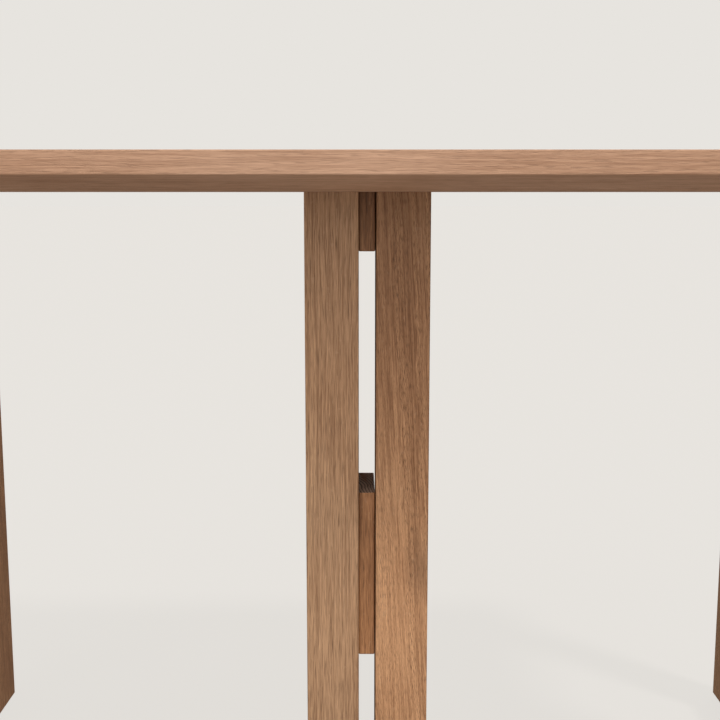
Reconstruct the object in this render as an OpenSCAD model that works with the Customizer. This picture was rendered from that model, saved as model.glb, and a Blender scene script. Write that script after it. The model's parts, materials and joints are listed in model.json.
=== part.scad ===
// Gateleg table with a fold-over leaf. Two gates swing out from the middle of a low stretcher and meet
// side by side under the leaf. Millimetres, +Z up, -Y towards the leaf. The origin is on the floor under
// the middle of the open table.

/* [Top] */
// Length of the table along the hinge line
top_len = 1200; // [1150:10:1300]
// Depth of the fixed top, and of the leaf
panel_depth = 420; // [410:5:440]
// Thickness of the fixed top and of the leaf
panel_t = 25; // [24:1:30]
// Height of the upright part of the edge
edge_h = 15; // [12:1:18]
// Width of the bevel under the edge
bevel_w = 35; // [20:5:45]
// Height of the top surface above the floor
table_h = 740; // [720:5:760]

/* [Posts and rails] */
// Width of a post across the gap between the gates
post_w = 40; // [38:1:44]
// Depth of a post along its gate
post_d = 70; // [66:1:76]
// Thickness of every rail
rail_t = 22; // [18:1:24]
// Distance from the leaf's front edge to the gate posts
overhang = 140; // [130:5:160]

/* [Gates] */
// Gap between the two gate posts
gate_gap = 13; // [12:0.5:16]
// Clearance between the pads and the right post
pad_gap = 0.8; // [0.4:0.2:2]
// Height of the upper pad
pad_top_h = 43.5; // [40:0.5:50]
// Height of the lower pad above the floor
pad_low_z = 358; // [340:2:370]
// Height of the lower pad and of the middle rail
pad_low_h = 130; // [110:2:140]
// Side of the square hinge stile
stile_w = 30; // [26:1:32]
// Distance of the gate pivots behind the hinge line
pivot_y = 55; // [52:1:60]

/* [Base] */
// Distance from the middle to the centre of an end frame
frame_x = 520; // [510:5:540]
// Height of the low rails and of the stretcher
low_rail_h = 70; // [60:5:80]
// Height of the low rails above the floor
low_rail_z = 35; // [30:5:50]

/* [Hidden] */
$fn = 48;
SIDES = [-1, 1];
oak = "burlywood";
cut = 1; // how far a cutting shape runs past the face it opens

// Panels
under = table_h - panel_t;
bevel_h = panel_t - edge_h;
butt_gap = 0.6;
panel_clear = 0.3; // height of the hinge axis above the top surface

// Hinges between the fixed top and the leaf
hinge_xs = [-430, 0, 430];
hinge_z = table_h + panel_clear;
hinge_len = 60;
plate_w = 22;
plate_t = 2;
knuckle_r = 2.5;
knuckle_len = hinge_len / 3;
knuckle_clear = 0.3;
hinge_pin_r = 1.25;
running_clear = 0.05;
hinge_screw_xs = [-22, 0, 22];
hinge_screw_y = 13;
hinge_screw = [1.5, 3, 12]; // shank radius, head radius, shank length

// Steel channels let into the underside
channel_len = 960;
channel_w = 20;
channel_h = 12;
channel_wall = 2;
channel_ys = [130, 320];
channel_screw_xs = [-420, -140, 140, 420];
channel_screw = [1.75, 3.5, 18];

// Posts, rails and their joints
glide_h = 6;
glide_r = 14;
stem_r = 3;
stem_h = 14;
post_clear = 0.05; // between a gate post and the leaf
gate_x = (gate_gap + post_w) / 2;
post_y = -panel_depth + overhang;
gate_post_top = under - post_clear;
stile_front = pivot_y - stile_w / 2;
stile_bottom = low_rail_z + low_rail_h + 1.1;
stile_top = under - 2;
tenon_t = 8;
tenon_len = 25;
stile_tenon_len = 8;
shoulder = 8; // how much lower a tenon is than its rail, at top and bottom
gate_top_rail = [under - 43, 40]; // lowest point and height
gate_mid_rail = [pad_low_z, pad_low_h];
gate_low_rail = [140, 60];

// Gate pivots
pivot_r = 5;
bush_r = 8;
upper_bush_h = 15;
lower_bush_h = 30;
washer_r = 12;
washer_t = 1;
block_len = 120;
block_clear = 2;

// Pads, dowels and magnets
pad_t = gate_gap - pad_gap;
pad_inset = 4.5;
dowel_r = 4;
dowel_len = 20;
dowel_in_pad = 8;
dowel_spots = [[17, under - 22], [53, under - 22], [17, pad_low_z + 22], [53, pad_low_z + 108]];
magnet_r = 6;
magnet_t = 5;
strike_t = 2;
magnet_zs = [pad_low_z + 45, pad_low_z + 85];

// End frames and stretcher
front_post_y = 40;
back_post_y = 330;
frame_top_rail = [under - 60, 60];
frame_low_rail = [low_rail_z, low_rail_h];
stretcher_y = 78;
stretcher_t = 30;
stretcher_tenon_len = (post_w - tenon_t) / 2 - 1; // ends short of the low rails' tenons
frame_screw_ys = [150, 290];
bumper_r = 6;
bumper_clear = 0.3;

// A countersunk screw with its head's face at the origin and its point along +Z
module flat_screw(size, head_h) {
    cylinder(h = head_h, r1 = size[1], r2 = size[0]);
    translate([0, 0, head_h]) cylinder(h = size[2], r = size[0]);
}

// ---- Fixed top and leaf: both are drawn on the fixed top's side of the hinge line ----

module panel_blank() {
    difference() {
        translate([-top_len / 2, butt_gap / 2, under])
            cube([top_len, panel_depth - butt_gap / 2, panel_t]);
        translate([-top_len / 2 - cut, 0, 0]) rotate([90, 0, 90]) linear_extrude(top_len + 2 * cut)
            bevel_outline(panel_depth);
        for (side = [0, 1]) mirror([side, 0, 0]) translate([0, panel_depth + cut, 0]) rotate([90, 0, 0])
            linear_extrude(panel_depth + 2 * cut) bevel_outline(top_len / 2);
    }
}

// What the bevel takes away below an edge that lies at distance edge
module bevel_outline(edge) {
    polygon([
        [edge - 2 * bevel_w, under - bevel_h],
        [edge + bevel_w, under + 2 * bevel_h],
        [edge + bevel_w, under - bevel_h]
    ]);
}

module along_x(length, r) {
    translate([-length / 2, 0, 0]) rotate([0, 90, 0]) cylinder(h = length, r = r);
}

module hinge_recess() {
    translate([-hinge_len / 2, -cut, table_h - plate_t]) cube([hinge_len, plate_w + cut, plate_t + cut]);
    translate([0, 0, hinge_z]) along_x(hinge_len + 2 * knuckle_clear, knuckle_r + 2 * knuckle_clear);
}

module screw_places(xs, y) {
    for (x = xs) translate([x, y, table_h]) mirror([0, 0, 1]) children();
}

module channel_screw_places() {
    for (y = channel_ys, x = channel_screw_xs) translate([x, y, under]) children();
}

module channel_grooves() {
    for (y = channel_ys) translate([-channel_len / 2, y - channel_w / 2, under - cut])
        cube([channel_len, channel_w, channel_h + cut]);
}

module panel() {
    difference() {
        panel_blank();
        for (x = hinge_xs) translate([x, 0, 0]) {
            hinge_recess();
            screw_places(hinge_screw_xs, hinge_screw_y) flat_screw(hinge_screw, plate_t);
        }
        channel_grooves();
        channel_screw_places() flat_screw(channel_screw, channel_wall);
    }
}

module channels() {
    difference() {
        for (y = channel_ys) translate([-channel_len / 2, y - channel_w / 2, under])
            cube([channel_len, channel_w, channel_h]);
        for (y = channel_ys)
            translate([-channel_len / 2 - cut, y - channel_w / 2 + channel_wall, under + channel_wall])
                cube([channel_len + 2 * cut, channel_w - 2 * channel_wall, channel_h]);
        channel_screw_places() flat_screw(channel_screw, channel_wall);
    }
}

module fixed_top() {
    color(oak) difference() {
        panel();
        for (side = SIDES) translate([side * gate_x, pivot_y, under - cut])
            cylinder(h = upper_bush_h + cut, r = bush_r);
        top_screws();
    }
}

module fold_leaf() {
    color(oak) mirror([0, 1, 0]) panel();
}

module top_channels() {
    color("dimgray") channels();
}

module leaf_channels() {
    color("dimgray") mirror([0, 1, 0]) channels();
}

module top_channel_screws() {
    color("silver") channel_screw_places() flat_screw(channel_screw, channel_wall);
}

module leaf_channel_screws() {
    color("silver") mirror([0, 1, 0]) channel_screw_places() flat_screw(channel_screw, channel_wall);
}

// ---- Hinges ----

// One hinge plate with a knuckle at each of the places in spans, given as [start, length] along X
module hinge_plate(spans) {
    difference() {
        union() {
            translate([-hinge_len / 2, knuckle_r + 2 * knuckle_clear, table_h - plate_t])
                cube([hinge_len, plate_w - knuckle_r - 2 * knuckle_clear, plate_t]);
            for (span = spans) translate([span[0] + span[1] / 2, 0, 0]) {
                translate([0, 0, hinge_z]) along_x(span[1], knuckle_r);
                translate([-span[1] / 2, 0, table_h - plate_t])
                    cube([span[1], knuckle_r + 3 * knuckle_clear, plate_t]);
            }
        }
        screw_places(hinge_screw_xs, hinge_screw_y) flat_screw(hinge_screw, plate_t);
    }
}

module top_hinge_plates() {
    outer = [[-hinge_len / 2, knuckle_len], [knuckle_len / 2, knuckle_len]];
    color("darkgoldenrod") for (x = hinge_xs) translate([x, 0, 0]) difference() {
        hinge_plate(outer);
        translate([0, 0, hinge_z]) along_x(hinge_len + 2 * cut, hinge_pin_r);
    }
}

module leaf_hinge_plates() {
    middle = [[-knuckle_len / 2 + knuckle_clear, knuckle_len - 2 * knuckle_clear]];
    color("darkgoldenrod") mirror([0, 1, 0]) for (x = hinge_xs) translate([x, 0, 0]) difference() {
        hinge_plate(middle);
        translate([0, 0, hinge_z]) along_x(hinge_len, hinge_pin_r + running_clear);
    }
}

module hinge_pins() {
    color("goldenrod") for (x = hinge_xs) translate([x, 0, hinge_z]) along_x(hinge_len, hinge_pin_r);
}

module hinge_screws() {
    for (x = hinge_xs) translate([x, 0, 0])
        screw_places(hinge_screw_xs, hinge_screw_y) flat_screw(hinge_screw, plate_t);
}

module top_hinge_screws() {
    color("goldenrod") hinge_screws();
}

module leaf_hinge_screws() {
    color("goldenrod") mirror([0, 1, 0]) hinge_screws();
}

// ---- Posts and rails ----

// A rail along Y from y0 to y1, centred on x, with a tenon of the given length at each end
module rail(x, y0, y1, size, tenon0, tenon1) {
    translate([x - rail_t / 2, y0, size[0]]) cube([rail_t, y1 - y0, size[1]]);
    rail_tenons(x, y0, y1, size, tenon0, tenon1);
}

module rail_tenons(x, y0, y1, size, tenon0, tenon1) {
    translate([x - tenon_t / 2, y0 - tenon0, size[0] + shoulder])
        cube([tenon_t, y1 - y0 + tenon0 + tenon1, size[1] - 2 * shoulder]);
}

// A post with its front face at y and a hole for the glide's stem
module post(x, y, top) {
    difference() {
        translate([x - post_w / 2, y, glide_h]) cube([post_w, post_d, top - glide_h]);
        translate([x, y + post_d / 2, glide_h - cut]) cylinder(h = stem_h + cut, r = stem_r);
    }
}

module glide(x, y) {
    translate([x, y + post_d / 2, 0]) {
        cylinder(h = glide_h, r = glide_r);
        translate([0, 0, glide_h]) cylinder(h = stem_h, r = stem_r);
    }
}

// ---- Gates: side is -1 for the left gate and 1 for the right one ----

module gate_rail(side, size) {
    color(oak) rail(side * gate_x, post_y + post_d, stile_front, size, tenon_len, stile_tenon_len);
}

module gate_tenons(side) {
    for (size = [gate_top_rail, gate_mid_rail, gate_low_rail])
        rail_tenons(side * gate_x, post_y + post_d, stile_front, size, tenon_len, stile_tenon_len);
}

module gate_post(side) {
    color(oak) difference() {
        post(side * gate_x, post_y, gate_post_top);
        gate_tenons(side);
        if (side < 0) pad_dowels();
        if (side > 0) strike_discs();
    }
}

module gate_stile(side) {
    color(oak) difference() {
        translate([side * gate_x - stile_w / 2, stile_front, stile_bottom])
            cube([stile_w, stile_w, stile_top - stile_bottom]);
        gate_tenons(side);
        upper_pivot(side);
        lower_pivot(side);
    }
}

module upper_pivot(side) {
    color("silver") translate([side * gate_x, pivot_y, stile_top - 25])
        cylinder(h = 25 + under - stile_top + upper_bush_h - block_clear, r = pivot_r);
}

module lower_pivot(side) {
    bottom = low_rail_z + low_rail_h - lower_bush_h + block_clear;
    color("silver") translate([side * gate_x, pivot_y, bottom])
        cylinder(h = stile_bottom + 29 - bottom, r = pivot_r);
}

module gate_glide(side) {
    color("dimgray") glide(side * gate_x, post_y);
}

// ---- Pads and catches: the pads are on the left post ----

module pad(z, h) {
    translate([-gate_gap / 2, post_y + pad_inset, z]) cube([pad_t, post_d - 2 * pad_inset, h]);
}

module upper_pad() {
    color(oak) difference() {
        pad(gate_post_top - pad_top_h, pad_top_h);
        pad_dowels();
    }
}

module lower_pad() {
    color(oak) difference() {
        pad(pad_low_z, pad_low_h);
        pad_dowels();
        catch_magnets();
    }
}

module pad_dowels() {
    color(oak) for (spot = dowel_spots)
        translate([-gate_gap / 2 + dowel_in_pad - dowel_len, post_y + spot[0], spot[1]])
            rotate([0, 90, 0]) cylinder(h = dowel_len, r = dowel_r);
}

// A disc on each magnet's axis, from x and t thick
module catch_discs(x, t) {
    for (z = magnet_zs) translate([x, post_y + post_d / 2, z]) rotate([0, 90, 0]) cylinder(h = t, r = magnet_r);
}

module catch_magnets() {
    color("silver") catch_discs(-gate_gap / 2 + pad_t - magnet_t, magnet_t);
}

module strike_discs() {
    color("silver") catch_discs(gate_gap / 2, strike_t);
}

// ---- Pivot bearings ----

module bushes(z, h) {
    for (side = SIDES) translate([side * gate_x, pivot_y, z]) difference() {
        cylinder(h = h, r = bush_r);
        translate([0, 0, -cut]) cylinder(h = h + 2 * cut, r = pivot_r + running_clear);
    }
}

module upper_bushes() {
    color("darkgoldenrod") bushes(under, upper_bush_h);
}

module lower_bushes() {
    color("darkgoldenrod") bushes(low_rail_z + low_rail_h - lower_bush_h, lower_bush_h);
}

module thrust_washers() {
    color("goldenrod") for (side = SIDES)
        translate([side * gate_x, pivot_y, low_rail_z + low_rail_h]) difference() {
            cylinder(h = washer_t, r = washer_r);
            translate([0, 0, -cut]) cylinder(h = washer_t + 2 * cut, r = pivot_r + knuckle_clear);
        }
}

module pivot_block() {
    front = pivot_y - 18;
    color(oak) difference() {
        translate([-block_len / 2, front, low_rail_z]) cube([block_len, stretcher_y - front, low_rail_h]);
        for (side = SIDES)
            translate([side * gate_x, pivot_y, low_rail_z + low_rail_h - lower_bush_h])
                cylinder(h = lower_bush_h + cut, r = bush_r);
        block_screws();
    }
}

// Two long screws through the block into the stretcher
module block_screws() {
    color("silver") for (side = SIDES)
        translate([side * (block_len / 2 - 12), pivot_y - 18, low_rail_z + 22]) rotate([-90, 0, 0])
            flat_screw([2.5, 5, 55], 3);
}

// ---- End frames, stretcher and their fixings ----

module frame_tenons(side) {
    for (size = [frame_top_rail, frame_low_rail])
        rail_tenons(side * frame_x, front_post_y + post_d, back_post_y, size, tenon_len, tenon_len);
}

module frame_post(side, y) {
    color(oak) difference() {
        post(side * frame_x, y, under);
        frame_tenons(side);
        stretcher_tenon();
    }
}

module frame_top_rail(side) {
    color(oak) difference() {
        rail(side * frame_x, front_post_y + post_d, back_post_y, frame_top_rail, tenon_len, tenon_len);
        top_screws();
        for (y = frame_screw_ys) translate([side * frame_x, y, frame_top_rail[0] - cut])
            cylinder(h = frame_top_rail[1] / 2 + cut, r = 6);
    }
}

module frame_low_rail(side) {
    color(oak)
        rail(side * frame_x, front_post_y + post_d, back_post_y, frame_low_rail, tenon_len, tenon_len);
}

module stretcher_tenon() {
    half = frame_x - post_w / 2 + stretcher_tenon_len;
    translate([-half, stretcher_y + stretcher_t / 2 - tenon_t / 2, low_rail_z + shoulder])
        cube([2 * half, tenon_t, low_rail_h - 2 * shoulder]);
}

module stretcher() {
    half = frame_x - post_w / 2;
    color(oak) difference() {
        union() {
            translate([-half, stretcher_y, low_rail_z]) cube([2 * half, stretcher_t, low_rail_h]);
            stretcher_tenon();
        }
        block_screws();
    }
}

module top_screws() {
    color("silver") for (side = SIDES, y = frame_screw_ys)
        translate([side * frame_x, y, frame_top_rail[0] + frame_top_rail[1] / 2]) flat_screw([2.5, 5, 42], 3);
}

module frame_glides() {
    color("dimgray") for (side = SIDES, y = [front_post_y, back_post_y]) glide(side * frame_x, y);
}

// Buffers on the stretcher that the gate posts meet when the gates are folded away
module closing_bumpers() {
    reach = pivot_y - post_y - post_d / 2;
    color("dimgray") for (side = SIDES)
        translate([side * (gate_x + reach), pivot_y + post_w / 2 + bumper_clear, low_rail_z + low_rail_h / 2])
            rotate([-90, 0, 0]) cylinder(h = stretcher_y - pivot_y - post_w / 2 - bumper_clear, r = bumper_r);
}

fixed_top();
top_channels();
top_channel_screws();
top_hinge_plates();
top_hinge_screws();
hinge_pins();
fold_leaf();
leaf_channels();
leaf_channel_screws();
leaf_hinge_plates();
leaf_hinge_screws();
gate_post(-1);  // gate_post_left
gate_stile(-1);  // gate_stile_left
gate_rail(-1, gate_top_rail);  // gate_top_rail_left
gate_rail(-1, gate_mid_rail);  // gate_mid_rail_left
gate_rail(-1, gate_low_rail);  // gate_low_rail_left
upper_pivot(-1);  // upper_pivot_left
lower_pivot(-1);  // lower_pivot_left
gate_glide(-1);  // gate_glide_left
upper_pad();
lower_pad();
pad_dowels();
catch_magnets();
gate_post(1);  // gate_post_right
gate_stile(1);  // gate_stile_right
gate_rail(1, gate_top_rail);  // gate_top_rail_right
gate_rail(1, gate_mid_rail);  // gate_mid_rail_right
gate_rail(1, gate_low_rail);  // gate_low_rail_right
upper_pivot(1);  // upper_pivot_right
lower_pivot(1);  // lower_pivot_right
gate_glide(1);  // gate_glide_right
strike_discs();
upper_bushes();
lower_bushes();
thrust_washers();
pivot_block();
block_screws();
frame_post(-1, front_post_y);  // front_post_left
frame_post(-1, back_post_y);  // back_post_left
frame_top_rail(-1);  // frame_top_rail_left
frame_low_rail(-1);  // frame_low_rail_left
frame_post(1, front_post_y);  // front_post_right
frame_post(1, back_post_y);  // back_post_right
frame_top_rail(1);  // frame_top_rail_right
frame_low_rail(1);  // frame_low_rail_right
stretcher();
top_screws();
frame_glides();
closing_bumpers();
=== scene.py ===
"""Looks for the gateleg table: oak joinery, brass hinges and steel fittings on the CAD frame."""

import json
import math

import bmesh
import bpy
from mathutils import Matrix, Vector


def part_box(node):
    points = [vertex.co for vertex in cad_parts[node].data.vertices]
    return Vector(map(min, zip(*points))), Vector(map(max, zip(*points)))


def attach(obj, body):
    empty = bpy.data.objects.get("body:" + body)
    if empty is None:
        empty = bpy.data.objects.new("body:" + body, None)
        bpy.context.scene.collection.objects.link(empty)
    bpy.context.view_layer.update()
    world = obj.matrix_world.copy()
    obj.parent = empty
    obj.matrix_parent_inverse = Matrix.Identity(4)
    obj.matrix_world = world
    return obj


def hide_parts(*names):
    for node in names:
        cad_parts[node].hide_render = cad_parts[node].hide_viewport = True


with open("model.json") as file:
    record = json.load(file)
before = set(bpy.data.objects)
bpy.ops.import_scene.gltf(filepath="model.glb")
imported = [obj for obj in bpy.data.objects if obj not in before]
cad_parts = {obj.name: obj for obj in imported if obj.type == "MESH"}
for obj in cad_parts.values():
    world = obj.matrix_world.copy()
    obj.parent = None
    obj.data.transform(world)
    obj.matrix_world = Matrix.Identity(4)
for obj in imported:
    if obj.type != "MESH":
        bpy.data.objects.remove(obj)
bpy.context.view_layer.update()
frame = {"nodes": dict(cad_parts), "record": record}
NODES = frame["nodes"]
SLOT_OF = {row["node"]: row["material_slot"] for row in frame["record"]["subparts"]}
BODY_OF = {
    node: body for body, nodes in frame["record"]["behaviour"]["bodies"].items() for node in nodes
}

# ---- Camera: level with the leaf's underside, a little left of the slot, looking down ----

FOCAL_MM = 55.2
SENSOR_MM = 36.0
CAMERA_DISTANCE = 0.813  # from the posts' front faces
CAMERA_LEFT = 0.0055  # of the slot's middle
CAMERA_BELOW = 0.0005  # the underside of the leaf
CAMERA_PITCH = math.radians(8.63)


def add_camera():
    post_low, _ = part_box("gate_post_left")
    leaf_low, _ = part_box("fold_leaf")
    data = bpy.data.cameras.new("camera")
    data.lens = FOCAL_MM
    data.sensor_width = SENSOR_MM
    data.clip_start = 0.02
    camera = bpy.data.objects.new("camera", data)
    camera.location = (-CAMERA_LEFT, post_low.y - CAMERA_DISTANCE, leaf_low.z - CAMERA_BELOW)
    camera.rotation_euler = (math.pi / 2 - CAMERA_PITCH, 0, 0)
    bpy.context.scene.collection.objects.link(camera)
    bpy.context.scene.camera = camera


# ---- Colours ----


def linear(*srgb):
    """An sRGB colour in 0 to 255 as linear RGBA."""
    def channel(c):
        c /= 255
        return c / 12.92 if c <= 0.04045 else ((c + 0.055) / 1.055) ** 2.4

    return (*[channel(c) for c in srgb], 1.0)


BACKDROP = linear(231, 228, 223)

# ---- Node graph helpers ----


class Graph:
    """Short names for the shader nodes of one material."""

    def __init__(self, name):
        self.material = bpy.data.materials.new(name)
        self.material.use_nodes = True
        self.tree = self.material.node_tree
        self.shader = self.tree.nodes["Principled BSDF"]

    def add(self, kind, **settings):
        node = self.tree.nodes.new(kind)
        for key, value in settings.items():
            setattr(node, key, value)
        return node

    def link(self, source, target):
        self.tree.links.new(source, target)

    def feed(self, socket, value):
        if isinstance(value, bpy.types.NodeSocket):
            self.link(value, socket)
        else:
            socket.default_value = value

    def math(self, operation, a, b=0.0, c=0.0, clamp=False):
        node = self.add("ShaderNodeMath", operation=operation, use_clamp=clamp)
        for socket, value in zip(node.inputs, (a, b, c)):
            self.feed(socket, value)
        return node.outputs[0]

    def remap(self, value, low, high, to_low=0.0, to_high=1.0):
        """value from low to high, mapped to to_low to to_high and held there."""
        node = self.add("ShaderNodeMapRange")
        for socket, number in zip(node.inputs, (value, low, high, to_low, to_high)):
            self.feed(socket, number)
        return node.outputs[0]

    def split(self, vector):
        """The three parts of a vector."""
        node = self.add("ShaderNodeSeparateXYZ")
        self.link(vector, node.inputs[0])
        return node.outputs

    def vector(self, x, y, z):
        node = self.add("ShaderNodeCombineXYZ")
        for socket, value in zip(node.inputs, (x, y, z)):
            self.feed(socket, value)
        return node.outputs[0]

    def vector_math(self, operation, a, b=(0, 0, 0)):
        node = self.add("ShaderNodeVectorMath", operation=operation)
        self.feed(node.inputs[0], a)
        self.feed(node.inputs[1], b)
        return node.outputs

    def drawn_out(self, u, v, w, reach):
        """A place for a pattern that runs along u, reach being its width over its length."""
        return self.vector(self.math("MULTIPLY", u, reach), v, w)

    def random(self, number):
        """A random number from 0 to 1, always the same for the same whole number."""
        node = self.add("ShaderNodeTexWhiteNoise", noise_dimensions="1D")
        self.link(number, node.inputs["W"])
        return node.outputs["Value"]

    def noise(self, place, scale, detail=3.0, roughness=0.55):
        node = self.add("ShaderNodeTexNoise")
        self.link(place, node.inputs["Vector"])
        node.inputs["Scale"].default_value = scale
        node.inputs["Detail"].default_value = detail
        node.inputs["Roughness"].default_value = roughness
        return node.outputs["Fac"]

    def mix(self, amount, a, b, blend="MIX"):
        node = self.add("ShaderNodeMix", data_type="RGBA", blend_type=blend)
        self.feed(node.inputs[0], amount)
        self.feed(node.inputs[6], a)
        self.feed(node.inputs[7], b)
        return node.outputs[2]

    def shade(self, colour, level):
        """The colour times level."""
        return self.mix(1.0, colour, self.vector(level, level, level), blend="MULTIPLY")

    def bump(self, height, distance, strength=1.0, under=None):
        node = self.add("ShaderNodeBump")
        node.inputs["Strength"].default_value = strength
        node.inputs["Distance"].default_value = distance
        self.link(height, node.inputs["Height"])
        if under is not None:
            self.link(under, node.inputs["Normal"])
        return node.outputs["Normal"]


# ---- Oak ----

AXES = "XYZ"
PORE_DARK = linear(66, 42, 28)
RAY_PALE = linear(222, 186, 150)
BLOTCH_DARK = linear(92, 66, 48)
END_PALE, END_DARK = linear(186, 166, 150), linear(52, 44, 40)
WHITE, WARMTH = (1, 1, 1, 1), (1.0, 0.93, 0.86, 1)

# Sizes in metres
RING = 0.0026  # one year's growth
RING_WANDER = 0.022  # how far rings stray over the length of a piece
RING_RIPPLE = 0.003  # and over a few centimetres
FIBRE_SWAY = 0.0016
BOARD_SHIFT = 0.12  # how far the pith differs between glued boards
BOARD_SLIDE = 5.0  # and how far they are slid along the grain, so that none match
SEED_SLIDE = 3.7  # and how far pieces are slid for each step of their seed

# How fine each pattern is, as a noise scale, and its width over its length
WANDER_SCALE, WANDER_REACH = 16.0, 0.16
RIPPLE_SCALE, RIPPLE_REACH = 60.0, 0.5
FIBRE_SCALE, STREAK_SCALE, FIBRE_REACH = 2300.0, 760.0, 0.02
PORE_SCALE = 1900.0
RAY_SCALE, RAY_REACH = 520.0, 0.32
CLOUD_SCALE, CLOUD_REACH = 14.0, 0.35
SPECKLE_SCALE = 1100.0

# How far each pattern moves the wood from its light tone (0) to its dark one (1)
LATE_TONE = 0.16
YEAR_TONE = 0.14
FIBRE_TONE = (-0.08, 0.36)
CLOUD_TONE = (-0.12, 0.22)
BOARD_LEVEL = (0.86, 1.06)

GLUE_FROM, GLUE_FULL = 0.4965, 0.4995  # from a board's middle, as a part of its width
GLUE_DEPTH = 0.5
BLOTCH_RAGGED, BLOTCH_EDGE, BLOTCH_CORE, BLOTCH_DEPTH = 0.8, 1.1, 0.1, 0.42
RAY_DEPTH = 0.12


def glued_boards(g, u, v, board, seed):
    """Splits a panel across v into boards cut from different places of the tree.
    Returns the new u and v, each board's random tone, and where the glue lines are."""
    count = g.math("DIVIDE", v, board)
    tone = g.random(g.math("ADD", g.math("FLOOR", count), seed))
    off_centre = g.math("ABSOLUTE", g.math("SUBTRACT", g.math("FRACT", count), 0.5))
    glue_line = g.remap(off_centre, GLUE_FROM, GLUE_FULL)
    u = g.math("ADD", u, g.math("MULTIPLY", tone, BOARD_SLIDE))
    v = g.math("SUBTRACT", g.math("MULTIPLY", g.math("FRACT", count), board), board / 2)
    v = g.math("ADD", v, g.math("MULTIPLY", g.math("SUBTRACT", tone, 0.5), BOARD_SHIFT))
    return u, v, tone, glue_line


def growth_rings(g, u, v, w, pith, seed):
    """Rings round the pith. Returns the season, from 0 to 1 through each ring, each year's
    random tone, and the ripple that bends rings and fibres alike."""
    wander_at = g.drawn_out(u, g.math("ADD", v, seed), w, WANDER_REACH)
    wander = g.math("SUBTRACT", g.noise(wander_at, WANDER_SCALE, detail=2.0), 0.5)
    ripple_at = g.drawn_out(u, g.math("ADD", v, seed * 2), w, RIPPLE_REACH)
    ripple = g.math("SUBTRACT", g.noise(ripple_at, RIPPLE_SCALE, detail=2.0), 0.5)
    across = g.math("ADD", g.math("SUBTRACT", v, pith[0]), g.math("MULTIPLY", wander, RING_WANDER))
    deep = g.math("SUBTRACT", w, pith[1])
    radius = g.math("SQRT", g.math("ADD", g.math("POWER", across, 2.0), g.math("POWER", deep, 2.0)))
    radius = g.math("ADD", radius, g.math("MULTIPLY", ripple, RING_RIPPLE))
    years = g.math("DIVIDE", radius, RING)
    return g.math("FRACT", years), g.random(g.math("FLOOR", years)), ripple


def dark_blotch(g, place, ripple, spot, size):
    """How strongly a ragged darker blotch shows: most at the spot, and not at all past its size."""
    offset = g.vector_math("SUBTRACT", place, spot)["Vector"]
    scaled = g.vector_math("DIVIDE", offset, size)["Vector"]
    away = g.vector_math("LENGTH", scaled)["Value"]
    ragged = g.math("ADD", away, g.math("MULTIPLY", ripple, BLOTCH_RAGGED))
    return g.math("MULTIPLY", g.remap(ragged, BLOTCH_EDGE, BLOTCH_CORE), BLOTCH_DEPTH)


def end_grain(g, place, axis, season, colour):
    """The colour, but with ends that drink more oil: greyer and darker, with rings across them."""
    normal = g.split(g.add("ShaderNodeTexCoord").outputs["Normal"])
    end = g.remap(g.math("ABSOLUTE", normal[axis]), 0.75, 0.95)
    speckle = g.noise(place, SPECKLE_SCALE, detail=2.0)
    end_colour = g.mix(g.remap(season, 0.55, 0.05), END_PALE, END_DARK)
    end_colour = g.mix(g.remap(speckle, 0.5, 0.7, 0.0, 0.6), end_colour, END_DARK)
    return g.mix(end, colour, end_colour)


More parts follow.
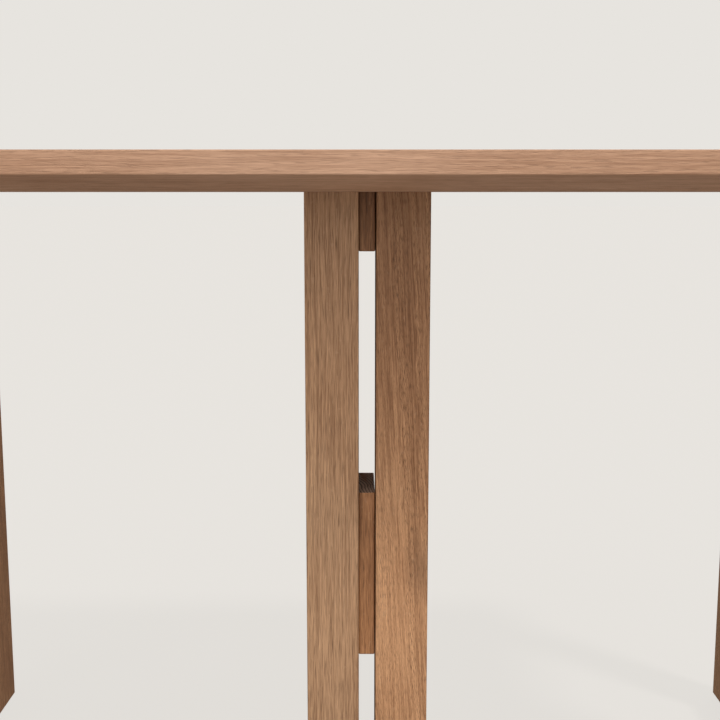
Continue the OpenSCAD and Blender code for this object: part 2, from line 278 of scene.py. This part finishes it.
def oak(
    name,
    along,
    light,
    dark,
    pith,
    seed=0.0,
    pore_reach=0.045,
    pore_depth=0.6,
    streaks=0.44,
    slant=0.0,
    board=None,
    painted_shade_ramps=(),
    mark=None,
):
    """Solid oak: the rings run round a pith that lies off the piece, so that faces and ends match.
    along is the grain's axis, and pith is where the tree's middle is on the other two axes.
    pore_reach is a pore's width over its length, pore_depth how dark pores are, streaks how dark
    streaks are, and slant the grain's lean. board is the width of the boards that a wide panel is
    glued up from. painted_shade_ramps are painted shade and light along the grain (start, end,
    start tone, end tone), and mark is a (place, size) darker blotch."""
    g = Graph(name)
    place = g.add("ShaderNodeTexCoord").outputs["Object"]
    parts = g.split(place)
    axis = AXES.index(along)
    length = parts[axis]
    u = g.math("ADD", length, seed * SEED_SLIDE)
    v = g.math("ADD", parts[(axis + 1) % 3], g.math("MULTIPLY", length, slant))
    w = parts[(axis + 2) % 3]
    if board:
        u, v, board_tone, glue_line = glued_boards(g, u, v, board, seed)

    season, year_tone, ripple = growth_rings(g, u, v, w, pith, seed)
    late = g.math("MULTIPLY", g.remap(season, 0.1, 0.75), g.remap(season, 1.0, 0.86))

    # Fibres and streaks, open pores, pale rays and slow clouds of tone
    weave = g.math("ADD", g.math("ADD", v, g.math("MULTIPLY", ripple, FIBRE_SWAY)), seed)
    fibre_at = g.drawn_out(u, weave, w, FIBRE_REACH)
    fibre = g.noise(fibre_at, FIBRE_SCALE, roughness=0.7)
    streak = g.noise(fibre_at, STREAK_SCALE)
    pore_at = g.drawn_out(u, weave, w, pore_reach)
    pore = g.remap(g.noise(pore_at, PORE_SCALE, detail=2.0), 0.5, 0.64)
    pore = g.math("MULTIPLY", pore, g.remap(season, 0.75, 0.2, 0.5, 1.0))
    ray_at = g.drawn_out(u, g.math("MULTIPLY", v, 0.5), w, RAY_REACH)
    ray = g.remap(g.noise(ray_at, RAY_SCALE, detail=1.0), 0.68, 0.76)
    cloud_at = g.drawn_out(u, g.math("ADD", v, seed * 2), w, CLOUD_REACH)
    cloud = g.noise(cloud_at, CLOUD_SCALE, detail=2.0)

    tone = g.math("MULTIPLY", late, LATE_TONE)
    tone = g.math("ADD", tone, g.math("MULTIPLY", year_tone, YEAR_TONE))
    tone = g.math("ADD", tone, g.remap(streak, 0.38, 0.67, 0.0, streaks))
    tone = g.math("ADD", tone, g.remap(fibre, 0.33, 0.7, *FIBRE_TONE))
    tone = g.math("ADD", tone, g.remap(cloud, 0.3, 0.7, *CLOUD_TONE), clamp=True)
    colour = g.mix(tone, light, dark)
    warm = g.mix(g.remap(cloud, 0.35, 0.65, 0.0, 0.5), WHITE, WARMTH)
    colour = g.mix(1.0, colour, warm, blend="MULTIPLY")
    colour = g.mix(g.math("MULTIPLY", pore, pore_depth), colour, PORE_DARK)
    colour = g.mix(g.math("MULTIPLY", ray, RAY_DEPTH), colour, RAY_PALE)
    if board:
        colour = g.shade(colour, g.remap(board_tone, 0.0, 1.0, *BOARD_LEVEL))
        colour = g.mix(g.math("MULTIPLY", glue_line, GLUE_DEPTH), colour, PORE_DARK)
    # Painted shade and light along the grain: the shade under the leaf, the key light's shadow edge,
    # and a darkening towards the foot
    for start, end, start_tone, end_tone in painted_shade_ramps:
        colour = g.shade(colour, g.remap(length, start, end, start_tone, end_tone))
    # A darker blotch at a given spot
    if mark:
        colour = g.mix(dark_blotch(g, place, ripple, *mark), colour, BLOTCH_DARK)
    colour = end_grain(g, place, axis, season, colour)

    g.link(colour, g.shader.inputs["Base Color"])
    g.link(g.remap(fibre, 0.3, 0.7, 0.5, 0.64), g.shader.inputs["Roughness"])
    g.shader.inputs["Specular IOR Level"].default_value = 0.3
    relief = g.math("SUBTRACT", g.math("MULTIPLY", fibre, 0.35), pore)
    grain = g.bump(relief, distance=0.00014, strength=0.7)
    g.link(g.bump(streak, distance=0.0001, strength=0.4, under=grain), g.shader.inputs["Normal"])
    return g.material


# ---- Metals, felt and rubber ----

TARNISH = (0.72, 0.66, 0.6, 1)
DUST = linear(96, 92, 86)
FELT_FLUFF = linear(150, 138, 122)
RUBBER_BLOOM = linear(58, 56, 54)


def metal(name, colour, roughness, brush_axis="X", scratches=0.12):
    """Brushed metal with fine lines along brush_axis and a patchy polish."""
    g = Graph(name)
    place = g.add("ShaderNodeTexCoord").outputs["Object"]
    stretch = [0.02 if letter == brush_axis else 1.0 for letter in AXES]
    lines_at = g.vector(*[g.math("MULTIPLY", part, s) for part, s in zip(g.split(place), stretch)])
    lines = g.noise(lines_at, scale=2600.0, detail=2.0)
    patch = g.noise(place, scale=160.0)
    dull = [c * t for c, t in zip(colour, TARNISH)]
    g.link(g.mix(g.remap(patch, 0.45, 0.7, 0.0, 0.6), colour, dull), g.shader.inputs["Base Color"])
    rough = g.math("ADD", g.remap(lines, 0.3, 0.7, -scratches, scratches), roughness)
    g.link(g.math("ADD", rough, g.remap(patch, 0.4, 0.7, 0.0, 0.1)), g.shader.inputs["Roughness"])
    g.shader.inputs["Metallic"].default_value = 1.0
    g.link(g.bump(lines, distance=0.00003, strength=0.5), g.shader.inputs["Normal"])
    return g.material


def painted(name, colour):
    """Matt powder coat with a fine orange-peel surface."""
    g = Graph(name)
    place = g.add("ShaderNodeTexCoord").outputs["Object"]
    peel = g.noise(place, scale=1400.0, detail=1.0)
    dust = g.noise(place, scale=30.0, detail=4.0)
    g.link(g.mix(g.remap(dust, 0.45, 0.75, 0.0, 0.25), colour, DUST), g.shader.inputs["Base Color"])
    g.link(g.remap(peel, 0.3, 0.7, 0.42, 0.6), g.shader.inputs["Roughness"])
    g.link(g.bump(peel, distance=0.00006, strength=0.6), g.shader.inputs["Normal"])
    return g.material


def felt(name, colour):
    """Pressed felt: tangled fibres with a soft sheen."""
    g = Graph(name)
    place = g.add("ShaderNodeTexCoord").outputs["Object"]
    tangle = g.noise(place, scale=1900.0, detail=5.0, roughness=0.8)
    lighter = [(c + f) / 2 for c, f in zip(colour, FELT_FLUFF)]
    g.link(g.mix(g.remap(tangle, 0.4, 0.7), colour, lighter), g.shader.inputs["Base Color"])
    g.shader.inputs["Roughness"].default_value = 0.95
    g.shader.inputs["Sheen Weight"].default_value = 0.4
    g.link(g.bump(tangle, distance=0.0004, strength=0.9), g.shader.inputs["Normal"])
    return g.material


def rubber(name, colour):
    """Matt rubber with a fine grit and a grey bloom."""
    g = Graph(name)
    place = g.add("ShaderNodeTexCoord").outputs["Object"]
    grit = g.noise(place, scale=1100.0)
    g.link(g.mix(g.remap(grit, 0.4, 0.7), colour, RUBBER_BLOOM), g.shader.inputs["Base Color"])
    g.link(g.remap(grit, 0.3, 0.7, 0.6, 0.8), g.shader.inputs["Roughness"])
    g.link(g.bump(grit, distance=0.0001, strength=0.6), g.shader.inputs["Normal"])
    return g.material


FITTINGS = {
    "hinge_brass": metal("hinge_brass", linear(222, 190, 124), 0.34),
    "bearing_bronze": metal("bearing_bronze", linear(172, 126, 74), 0.38, "Z"),
    "screw_steel": metal("screw_steel", linear(186, 186, 184), 0.3, "Z"),
    "catch_steel": metal("catch_steel", linear(205, 205, 203), 0.22, "Y"),
    "channel_steel": painted("channel_steel", linear(40, 39, 38)),
    "glide_felt": felt("glide_felt", linear(78, 70, 62)),
    "bumper_rubber": rubber("bumper_rubber", linear(36, 35, 34)),
}

# ---- Wooden pieces: each CAD solid is copied and its outer arrises are eased ----

ARRIS = 0.0009  # easing of the outer edges
MERGE_WITHIN = 1e-6
FLAT_WITHIN = 0.01  # radians; flatter edges than this are taken out
BOX_NEAR = 0.00002  # a face this close to its piece's box lies on it
ALIGNED = 0.99  # cosine between two directions that count as the same
SHORT_EDGE = 0.011  # shorter arrises than this stay sharp
SHARP = math.radians(15)
SHADED_SHARP = math.radians(32)


def on_outside(face, low, high, bevels):
    """Whether a face lies on the piece's box, or faces the way that one of its bevels does."""
    centre, normal = face.calc_center_median(), face.normal
    for i in range(3):
        if normal[i] > ALIGNED and centre[i] > high[i] - BOX_NEAR:
            return True
        if normal[i] < -ALIGNED and centre[i] < low[i] + BOX_NEAR:
            return True
    return any(normal.dot(direction) > ALIGNED for direction in bevels)


def eased_copy(node, name, bevels):
    """A copy of a CAD node's mesh with its outer arrises rounded, which stands for the node.
    A post or pad stays square at its top, where a gap under the panel would let light through."""
    mesh = bmesh.new()
    mesh.from_mesh(NODES[node].data)
    bmesh.ops.remove_doubles(mesh, verts=mesh.verts, dist=MERGE_WITHIN)
    bmesh.ops.dissolve_limit(mesh, angle_limit=FLAT_WITHIN, verts=mesh.verts, edges=mesh.edges)
    mesh.normal_update()
    low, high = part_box(node)
    outside = {f for f in mesh.faces if on_outside(f, low, high, bevels)}
    if "post" in node or "pad" in node:
        outside = {f for f in outside if f.normal.z < ALIGNED}
    arrises = [
        e
        for e in mesh.edges
        if len(e.link_faces) == 2
        and all(f in outside for f in e.link_faces)
        and e.calc_length() > SHORT_EDGE
        and e.calc_face_angle() > SHARP
        and e.is_convex
    ]
    bmesh.ops.bevel(
        mesh, geom=arrises, offset=ARRIS, segments=3, profile=0.5, affect="EDGES", clamp_overlap=True
    )
    bmesh.ops.triangulate(mesh, faces=[f for f in mesh.faces if len(f.verts) > 4])
    data = bpy.data.meshes.new(name)
    mesh.to_mesh(data)
    mesh.free()
    for polygon in data.polygons:
        polygon.use_smooth = True
    data.set_sharp_from_angle(angle=SHADED_SHARP)
    piece = bpy.data.objects.new(name, data)
    bpy.context.scene.collection.objects.link(piece)
    weighted = piece.modifiers.new("face_normals", "WEIGHTED_NORMAL")
    weighted.keep_sharp = True
    return piece


def settle(piece, node, material):
    """Gives a piece its material and its body, and hides the CAD node that it stands for."""
    piece.data.materials.clear()
    piece.data.materials.append(material)
    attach(piece, BODY_OF[node])
    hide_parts(node)


GREY = {"light": linear(202, 163, 127), "dark": linear(132, 97, 69)}
WARM = {"light": linear(213, 166, 125), "dark": linear(130, 89, 58)}
EDGE = {"light": linear(221, 180, 151), "dark": linear(164, 125, 98)}
# The pads' oak is darker and more saturated than the posts': in part painted shade of the recess
# between the posts and under the leaf, with the warmth of light bounced between them
PAD_OAK_WITH_PAINTED_SHADE = {"light": linear(190, 139, 96), "dark": linear(110, 70, 41)}
PANEL = {"along": "X", **EDGE, "pore_depth": 0.25, "streaks": 0.3, "board": 0.106}

TIMBER = {
    "fixed_top": {**PANEL, "pith": (0.01, 0.64), "seed": 1.0},
    "fold_leaf": {**PANEL, "pith": (0.0, 0.65), "seed": 2.0},
    "gate_post_left": {
        "along": "Z",
        **GREY,
        "pith": (0.12, -0.245),
        "seed": 3.0,
        "pore_reach": 0.03,
        # painted shade: darker just under the leaf, then darker again towards the foot
        "painted_shade_ramps": [(0.69, 0.58, 0.98, 1.1), (0.5, 0.32, 1.0, 0.82)],
    },
    "gate_post_right": {
        "along": "Z",
        **WARM,
        "pith": (0.03, -0.12),
        "seed": 4.0,
        "pore_reach": 0.1,
        "slant": 0.05,
        # painted shade: dark under the leaf down to where the key light's shadow ends, then darker
        # towards the foot
        "painted_shade_ramps": [(0.7, 0.46, 0.76, 1.09), (0.4, 0.32, 1.0, 0.92)],
        "mark": ((0.043, -0.28, 0.431), (0.016, 0.05, 0.034)),
    },
    "upper_pad": {
        "along": "Z",
        **PAD_OAK_WITH_PAINTED_SHADE,
        "pith": (0.1, -0.2),
        "seed": 5.0,
        # painted shade: darker just under the leaf
        "painted_shade_ramps": [(0.71, 0.67, 0.6, 0.72)],
    },
    "lower_pad": {"along": "Z", **PAD_OAK_WITH_PAINTED_SHADE, "pith": (-0.14, -0.3), "seed": 6.0},
    "stretcher": {"along": "X", **WARM, "pith": (0.2, 0.2), "seed": 7.0},
    "pivot_block": {"along": "X", **GREY, "pith": (0.16, 0.14), "seed": 8.0},
}
FIRST_SEED = 9.0  # for the pieces that aren't listed
BEVEL_OUT, BEVEL_DOWN = 0.27, -0.96  # the direction that a panel's bevel faces


def timber_of(node, index):
    """The listed timber, or the usual one for a post, stile or rail."""
    if node in TIMBER:
        return TIMBER[node]
    low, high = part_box(node)
    middle = (low + high) / 2
    timber = {**(GREY if index % 2 else WARM), "seed": FIRST_SEED + index}
    if "rail" in node:
        return {**timber, "along": "Y", "pith": (middle.z + 0.09, middle.x + 0.06)}
    return {**timber, "along": "Z", "pith": (middle.x + 0.1, middle.y + 0.07)}


def bevels_of(node):
    """The directions that a panel's bevels face: left, right, and away from the hinge line."""
    if node not in ("fixed_top", "fold_leaf"):
        return []
    outward = BEVEL_OUT if node == "fixed_top" else -BEVEL_OUT
    return [
        Vector((-BEVEL_OUT, 0, BEVEL_DOWN)),
        Vector((BEVEL_OUT, 0, BEVEL_DOWN)),
        Vector((0, outward, BEVEL_DOWN)),
    ]


def dress(node, material):
    """Gives a CAD node that is shown as it is its material."""
    NODES[node].data.materials.clear()
    NODES[node].data.materials.append(material)


def add_timber():
    wooden = sorted(n for n, slot in SLOT_OF.items() if slot == "oak" and n != "pad_dowels")
    for index, node in enumerate(wooden):
        material = oak("oak_" + node, **timber_of(node, index))
        settle(eased_copy(node, node + "_wood", bevels_of(node)), node, material)
    dress("pad_dowels", oak("oak_dowels", "X", **GREY, pith=(-0.2, 0.6)))


def add_fittings():
    for node, slot in SLOT_OF.items():
        if slot in FITTINGS:
            dress(node, FITTINGS[slot])


# ---- Stage and lights ----

STAGE_HALF = 60.0
FLOOR_ALBEDO = 0.08
FLOOR_GLOW = 0.9  # with what the lights add, the floor is nearly as bright as the backdrop
AMBIENT = (0.33, 0.285, 0.245, 1)


def camera_only(thing):
    """Marks a stage piece that neither lights nor shades the table."""
    thing.visible_diffuse = False
    thing.visible_glossy = False
    thing.visible_shadow = False


def add_stage():
    """A pale floor that takes faint shadows, and a dome of the same colour around it."""
    sheet = bmesh.new()
    bmesh.ops.create_grid(sheet, x_segments=1, y_segments=1, size=STAGE_HALF)
    dome = bmesh.new()
    bmesh.ops.create_icosphere(dome, subdivisions=3, radius=STAGE_HALF)
    for name, mesh, albedo, glow in (
        ("floor", sheet, FLOOR_ALBEDO, FLOOR_GLOW),
        ("backdrop", dome, 0.0, 1.0),
    ):
        data = bpy.data.meshes.new(name)
        mesh.to_mesh(data)
        mesh.free()
        thing = bpy.data.objects.new(name, data)
        bpy.context.scene.collection.objects.link(thing)
        g = Graph(name)
        g.shader.inputs["Base Color"].default_value = (albedo, albedo, albedo, 1)
        g.shader.inputs["Roughness"].default_value = 1.0
        g.shader.inputs["Specular IOR Level"].default_value = 0.0
        g.shader.inputs["Emission Color"].default_value = BACKDROP
        g.shader.inputs["Emission Strength"].default_value = glow
        data.materials.append(g.material)
        camera_only(thing)


def add_world():
    world = bpy.data.worlds.new("studio")
    bpy.context.scene.world = world
    world.use_nodes = True
    background = world.node_tree.nodes["Background"]
    background.inputs["Color"].default_value = AMBIENT
    background.inputs["Strength"].default_value = 1.0


def sun(name, direction, spread, strength, colour):
    """A distant light from the given direction, spread over that many degrees."""
    data = bpy.data.lights.new(name, "SUN")
    data.angle = math.radians(spread)
    data.energy = strength
    data.color = colour
    light = bpy.data.objects.new(name, data)
    light.rotation_euler = Vector(direction).to_track_quat("Z", "Y").to_euler()
    bpy.context.scene.collection.objects.link(light)


def add_lights():
    sun("key", (1.0, -1.0, 2.16), spread=8, strength=1.7, colour=(1.0, 0.93, 0.86))
    sun("window", (-0.2, -1.0, 0.55), spread=70, strength=0.85, colour=(0.99, 0.99, 1.0))
    sun("front", (-0.3, -1.0, 0.0), spread=40, strength=0.7, colour=(1.0, 0.97, 0.93))
    sun("back", (0.5, 1.0, 0.8), spread=50, strength=0.7, colour=(1.0, 0.97, 0.94))


def main():
    bpy.context.scene.view_settings.view_transform = "Standard"
    add_camera()
    add_world()
    add_stage()
    add_lights()
    add_timber()
    add_fittings()


main()
